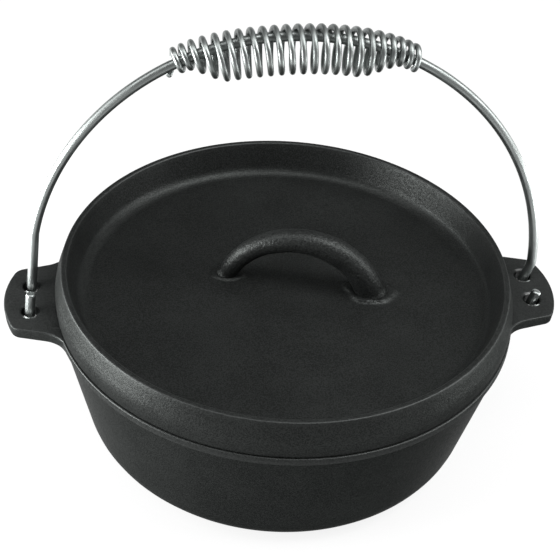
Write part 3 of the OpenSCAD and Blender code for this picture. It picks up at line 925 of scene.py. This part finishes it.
def half_bail(pot, bail, nearer, tilt, stub):
    """Middle line of the right half of the bail, upright: from the top of the arch down through a
    bend and a straight leg, round a half circle below the ear and up to the cut end. Its hole is
    nearer to the arch's middle than half the holes' distance by the given amount. With the line
    go the side directions: away from the arch's centre, then out from the hook's plane."""
    hole = np.array([pot.rim_radius + pot.hole_out - nearer, 0])
    reach = pot.rim_radius + pot.hole_out + bail.bow
    y = pot.hole_spacing / 2
    up = np.array([math.sin(tilt), math.cos(tilt)])
    out = np.array([up[1], -up[0]])
    across = out @ (hole - [0, bail.centre_up]) - bail.bend
    bend = out * across + up * math.sqrt((reach - bail.bend) ** 2 - across ** 2) + [0, bail.centre_up]
    meet = math.atan2(bend[1] - bail.centre_up, bend[0])
    down = pot.ear_thickness / 2 + bail.drop

    arch_turn = arc((0, 0), 1.0, QUARTER, meet, ARCH_STEPS)
    bend_turn = arc((0, 0), 1.0, meet, -tilt, BEND_STEPS)[1:]
    flat = np.vstack([[0, bail.centre_up] + reach * arch_turn, bend + bail.bend * bend_turn])
    foot = hole - up * down
    leg = spaced(np.vstack([flat[-1], foot]), LEG_STRETCH)[1:]
    plane = np.vstack([flat, leg])
    upper = np.stack([plane[:, 0], np.full(len(plane), y), plane[:, 1]], axis=1)
    a = np.linspace(0, math.pi, HOOK_STEPS + 1)[1:, None]
    up3 = np.array([up[0], 0, up[1]])
    foot3 = np.array([foot[0], 0, foot[1]])
    hook = foot3 + y * np.cos(a) * [0, 1, 0] - y * np.sin(a) * up3
    rise = np.arange(1, STUB_STEPS + 1)[:, None] / STUB_STEPS * (down + pot.ear_thickness / 2 + stub)
    path = np.vstack([upper, hook, hook[-1] + rise * up3])
    turns = np.vstack([arch_turn, bend_turn])
    side = np.tile([out[0], 0, out[1]], (len(path), 1))
    side[:len(turns)] = np.stack([turns[:, 0], 0 * turns[:, 0], turns[:, 1]], axis=1)
    return path, side


def on_ears(path, side, pot, bail):
    """Turns a line that is laid out upright on the X axis, and its side directions, back by the
    bail's lean, and lifts the line to the ears."""
    lean = np.array(Matrix.Rotation(-bail.lean, 3, "X")).T
    return path @ lean + [bail.shift, 0, pot.height - pot.ear_thickness / 2], side @ lean


def wire_radius(path, radius, end_round):
    """Radius along the wire: full, and less near each end by a share of a quarter circle."""
    along = distance_along(path)
    from_end = np.minimum(along, along[-1] - along)
    return radius - WIRE_END_TAPER * quarter_round(from_end, end_round)


def fine_ends(path, side, end_round):
    """The same line with extra points near both ends, where the wire rounds off."""
    cuts = end_round * (1 - np.cos(np.linspace(0, QUARTER, WIRE_END_STEPS + 1)[1:]))

    def end(here, there):
        return here + cuts[:, None] * unit(there - here)

    path = np.vstack([path[:1], end(path[0], path[1]), path[1:-1],
                      end(path[-1], path[-2])[::-1], path[-1:]])
    extra = np.ones(len(cuts))[:, None]
    side = np.vstack([side[:1], extra * side[0], side[1:-1], extra * side[-1], side[-1:]])
    return path, side


def new_wire(name, path, side, wire, end_round, sides):
    """A round wire along the path, with its UV map "wire": distance along and share round."""
    path, side = fine_ends(path, side, end_round)
    points, faces, marks = tube(path, side, wire_radius(path, wire / 2, end_round), sides)
    mesh = bpy.data.meshes.new(name)
    mesh.from_pydata(points, [], faces)
    mesh.uv_layers.new(name="wire").data.foreach_set("uv", marks.astype(np.float32).ravel())
    return new_object(name, mesh)


class OVEN_OT_bail(bpy.types.Operator):
    """Bend the bail's wire and hook it through the ears"""

    bl_idname = "oven.bail"
    bl_label = "Bail"

    def execute(self, context):
        scene = context.scene
        pot, bail = scene.oven_pot, scene.oven_bail
        right, right_side = half_bail(pot, bail, bail.shift, bail.right_tilt, bail.stub_right)
        mirror_image = half_bail(pot, bail, -bail.shift, bail.left_tilt, bail.stub_left)
        left, left_side = (part * [-1, 1, 1] for part in mirror_image)
        path = np.vstack([left[::-1], right[1:]])
        side = np.vstack([left_side[::-1], right_side[1:]])
        path, side = on_ears(path, side, pot, bail)
        piece = new_wire("bail_wire", path, side, bail.wire, bail.end_round, BAIL_SIDES)
        zinc = zinc_wire("bail_zinc", scene.oven_zinc, bail.wire)
        finish_piece(piece, "bail", "bail", zinc)
        return {"FINISHED"}


def coil_line(pot, bail, grip):
    """Middle line of the grip, upright: a right-hand coil round the top of the arch. A turn's
    radius and pitch swell smoothly from the ends to the middle. The middle turns hang from the
    bail, swung a little forward, so their inside touches the top of its wire, and the ends of the
    stiff coil rise until their inside touches its underside. The turns fan out less than the arch
    does. At the left the wire ends in a short tail that runs out under the bail."""
    reach = pot.rim_radius + pot.hole_out + bail.bow
    turn = np.linspace(0, grip.turns, grip.turns * TURN_STEPS + 1)
    from_left, from_right = turn, grip.turns - turn
    swell = smoothstep(np.minimum((from_left - grip.tight_turns) / grip.taper_left,
                                  (from_right - grip.tight_turns) / grip.taper_right))
    spread = smoothstep(np.minimum(from_left / grip.taper_left, from_right / grip.taper_right))
    level = smoothstep(np.minimum(from_left / grip.lift_left, from_right / grip.lift_right))
    tail = np.clip(1 - from_left / TAIL_TURNS, 0, 1) ** 2

    pitch = grip.end_pitch + (grip.middle_pitch - grip.end_pitch) * spread
    steps = (pitch[1:] + pitch[:-1]) / 2 * np.diff(turn)
    run = np.concatenate([[0], np.cumsum(steps)])
    run -= run[-1] / 2 + grip.slide + grip.tail * tail
    along_arch = run / reach
    fanned = grip.fan * along_arch
    arch, upright = (np.stack([np.sin(a), 0 * a, np.cos(a)], axis=1) for a in (along_arch, fanned))

    radius = (grip.end + (grip.middle - grip.end) * swell - grip.wire) / 2
    inside = radius * np.cos(along_arch - fanned) - grip.wire / 2
    play = np.maximum(0, inside - bail.wire / 2 - grip.gap)
    hang = np.maximum(-play, play - grip.lift * (1 - level))
    hang_up = arch * math.cos(grip.swing) + [0, math.sin(grip.swing), 0]
    spin = 2 * math.pi * turn[:, None]
    out = np.sin(spin) * [0, 1, 0] - np.cos(spin) * upright
    centre = np.array([0, pot.hole_spacing / 2, bail.centre_up])
    return centre + arch * reach - hang_up * hang[:, None] + out * radius[:, None], out


class OVEN_OT_grip(bpy.types.Operator):
    """Wind the spring grip round the top of the bail"""

    bl_idname = "oven.grip"
    bl_label = "Spring grip"

    def execute(self, context):
        scene = context.scene
        pot, bail, grip = scene.oven_pot, scene.oven_bail, scene.oven_grip
        path, side = on_ears(*coil_line(pot, bail, grip), pot, bail)
        piece = new_wire("spring_coil", path, side, grip.wire, GRIP_END_ROUND, GRIP_SIDES)
        zinc = zinc_wire("spring_zinc", scene.oven_zinc, grip.wire)
        finish_piece(piece, "spring_grip", "bail", zinc)
        return {"FINISHED"}


def pale_floor(look):
    """A wide matt floor just under the pot, which fades to pale grey far in front, by the same span
    of directions as the backdrop. Part of it shows as plain white to the camera and in mirrors; the
    rest is lit and keeps the shadow."""
    sides = ((-1, -1), (1, -1), (1, 1), (-1, 1))
    corners = [(x * FLOOR_HALF, y * FLOOR_HALF, -FLOOR_DROP) for x, y in sides]
    floor = new_piece("floor", corners, [(0, 1, 2, 3)])
    material, nodes = new_material("floor")
    place = nodes.add("ShaderNodeTexCoord")["Object"]
    reach = nodes.add("ShaderNodeVectorMath", {0: place}, operation="LENGTH")["Value"]
    toward = nodes.add("ShaderNodeVectorMath", {0: place}, operation="NORMALIZE")["Vector"]
    back = nodes.add("ShaderNodeSeparateXYZ", {"Vector": toward})["Y"]
    in_front = nodes.span(back, *FRONT_TO_BACK, 1.0, 0.0)
    far = nodes.math("MULTIPLY", nodes.span(reach, *FLOOR_FADES), in_front)
    level = nodes.span(far, 0.0, 1.0, 1.0, look.front)
    tone = nodes.blend(level, (0, 0, 0), look.floor)
    path = nodes.add("ShaderNodeLightPath")
    mirrored = nodes.math("MAXIMUM", path["Is Glossy Ray"], path["Is Transmission Ray"])
    seen = nodes.math("MAXIMUM", path["Is Camera Ray"], mirrored)
    skin = nodes.blend(seen, look.bounce, tone)
    lit = nodes.add("ShaderNodeBsdfDiffuse", {"Color": skin})["BSDF"]
    white = nodes.add("ShaderNodeEmission", {"Strength": level}, {"Color": WHITE})["Emission"]
    glow = nodes.math("MULTIPLY", seen, look.glow)
    shader = nodes.add("ShaderNodeMixShader", {0: glow, 1: lit, 2: white})["Shader"]
    nodes.add("ShaderNodeOutputMaterial", {"Surface": shader})
    floor.data.materials.append(material)


def studio_world(look):
    """A dim room round a white backdrop: above, the room's own light, which grows with height and
    to the right; near the horizon, white at the back that fades to the front; and an arch of light
    from the left over the top to the right, just in front of the oven's middle."""
    world = bpy.data.worlds.new("studio")
    world.use_nodes = True
    nodes = Nodes(world.node_tree)
    direction = nodes.add("ShaderNodeTexCoord")["Generated"]
    part = nodes.add("ShaderNodeSeparateXYZ", {"Vector": direction})
    right, back, up = part["X"], part["Y"], part["Z"]

    backdrop = nodes.math("MULTIPLY", nodes.span(back, *FRONT_TO_BACK, look.front, 1.0),
                          nodes.span(up, *BACKDROP_TO_ROOM, 1.0, 0.0))
    room = nodes.math("MULTIPLY", nodes.span(up, *ROOM_RISE, 0.0, look.ambient),
                      nodes.span(right, *ROOM_LEFT_TO_RIGHT, ROOM_LEFT_SHARE, ROOM_RIGHT_SHARE))
    off_arch = nodes.math("ABSOLUTE", nodes.math("ADD", back, ARCH_FORWARD))
    band = nodes.span(off_arch, *ARCH_EDGE, look.arch, 0.0)
    along_band = nodes.math("MULTIPLY", nodes.span(up, *ARCH_FOOT),
                            nodes.span(right, *ARCH_TO_RIGHT, 1.0, ARCH_RIGHT_SHARE))
    arch = nodes.math("MULTIPLY", band, along_band)
    strength = nodes.math("ADD", nodes.math("ADD", backdrop, room), arch)
    sky = nodes.add("ShaderNodeBackground", {"Strength": strength}, {"Color": WHITE})["Background"]
    nodes.add("ShaderNodeOutputWorld", {"Surface": sky})
    bpy.context.scene.world = world


def soft_lamp(name, watts, place, target, size):
    """A rectangular soft lamp that points at the target."""
    lamp = bpy.data.lights.new(name, "AREA")
    lamp.shape = "RECTANGLE"
    lamp.energy = watts
    lamp.size, lamp.size_y = size
    holder = bpy.data.objects.new(name, lamp)
    aim = (Vector(target) - Vector(place)).to_track_quat("-Z", "Y")
    holder.matrix_world = Matrix.Translation(place) @ aim.to_matrix().to_4x4()
    bpy.context.scene.collection.objects.link(holder)


def photo_camera(look, target):
    """A camera at the photograph's angle: its axes come from azimuth, elevation and roll, and it
    stands back from the target along its own axis after a small shift of its aim."""
    turn, rise = look.azimuth, look.elevation
    back = Vector((math.sin(turn) * math.cos(rise), -math.cos(turn) * math.cos(rise), math.sin(rise)))
    level = Vector((math.cos(turn), math.sin(turn), 0))
    plumb = back.cross(level)
    right = math.cos(look.roll) * level + math.sin(look.roll) * plumb
    up = math.cos(look.roll) * plumb - math.sin(look.roll) * level
    place = target + look.aim_right * right + look.aim_up * up + look.distance * back
    camera = bpy.data.cameras.new("camera")
    camera.sensor_width = SENSOR_WIDTH
    camera.lens = look.focal_pixels / PHOTO_PIXELS * SENSOR_WIDTH
    camera.clip_start = NEAREST_SEEN
    holder = bpy.data.objects.new("camera", camera)
    axes = Matrix((right, up, back)).transposed().to_4x4()
    holder.matrix_world = Matrix.Translation(place) @ axes
    bpy.context.scene.collection.objects.link(holder)
    bpy.context.scene.camera = holder


class OVEN_OT_stage(bpy.types.Operator):
    """Set up the camera, floor and light"""

    bl_idname = "oven.stage"
    bl_label = "Stage"

    def execute(self, context):
        look = context.scene.oven_stage
        lid_middle = Vector((0, 0, context.scene.oven_lid.top))
        photo_camera(look, lid_middle)
        pale_floor(look)
        studio_world(look)
        soft_lamp("top_lamp", look.top, TOP_LAMP, lid_middle, TOP_LAMP_SIZE)
        soft_lamp("left_lamp", look.left, LEFT_LAMP, (0, *LEFT_LAMP[1:]), LEFT_LAMP_SIZE)
        soft_lamp("right_lamp", look.right, RIGHT_LAMP, (0, *RIGHT_LAMP[1:]), RIGHT_LAMP_SIZE)
        context.scene.view_settings.view_transform = "Standard"
        return {"FINISHED"}


class OVEN_PT_panel(bpy.types.Panel):
    """Sizes, finishes and operators of the dutch oven"""

    bl_idname = "OVEN_PT_panel"
    bl_label = "Camp Dutch Oven"
    bl_space_type = "VIEW_3D"
    bl_region_type = "UI"
    bl_category = "Dutch Oven"

    def draw(self, context):
        for name, _ in SETTINGS:
            group = getattr(context.scene, name)
            box = self.layout.box()
            box.label(text=group.bl_rna.description)
            for key in group.__annotations__:
                box.prop(group, key)
        for operator in OPERATORS:
            self.layout.operator(operator.bl_idname)


SETTINGS = [
    ("oven_pot", PotSize),
    ("oven_lid", LidSize),
    ("oven_bail", BailSize),
    ("oven_grip", GripSize),
    ("oven_iron", IronFinish),
    ("oven_zinc", ZincFinish),
    ("oven_stage", StageLook),
]
OPERATORS = [OVEN_OT_stage, OVEN_OT_pot, OVEN_OT_lid, OVEN_OT_bail, OVEN_OT_grip]
CLASSES = [group for _, group in SETTINGS] + OPERATORS + [OVEN_PT_panel]


def register():
    """Registers the classes and gives the scene its settings."""
    for item in CLASSES:
        bpy.utils.register_class(item)
    for name, group in SETTINGS:
        setattr(bpy.types.Scene, name, PointerProperty(type=group))


def unregister():
    """Takes the settings and the classes away again."""
    for name, _ in SETTINGS:
        delattr(bpy.types.Scene, name)
    for item in reversed(CLASSES):
        bpy.utils.unregister_class(item)


def main():
    """Makes the stage and the pieces."""
    register()
    bpy.ops.oven.stage()
    bpy.ops.oven.pot()
    bpy.ops.oven.lid()
    bpy.ops.oven.bail()
    bpy.ops.oven.grip()


if __name__ == "__main__":
    main()
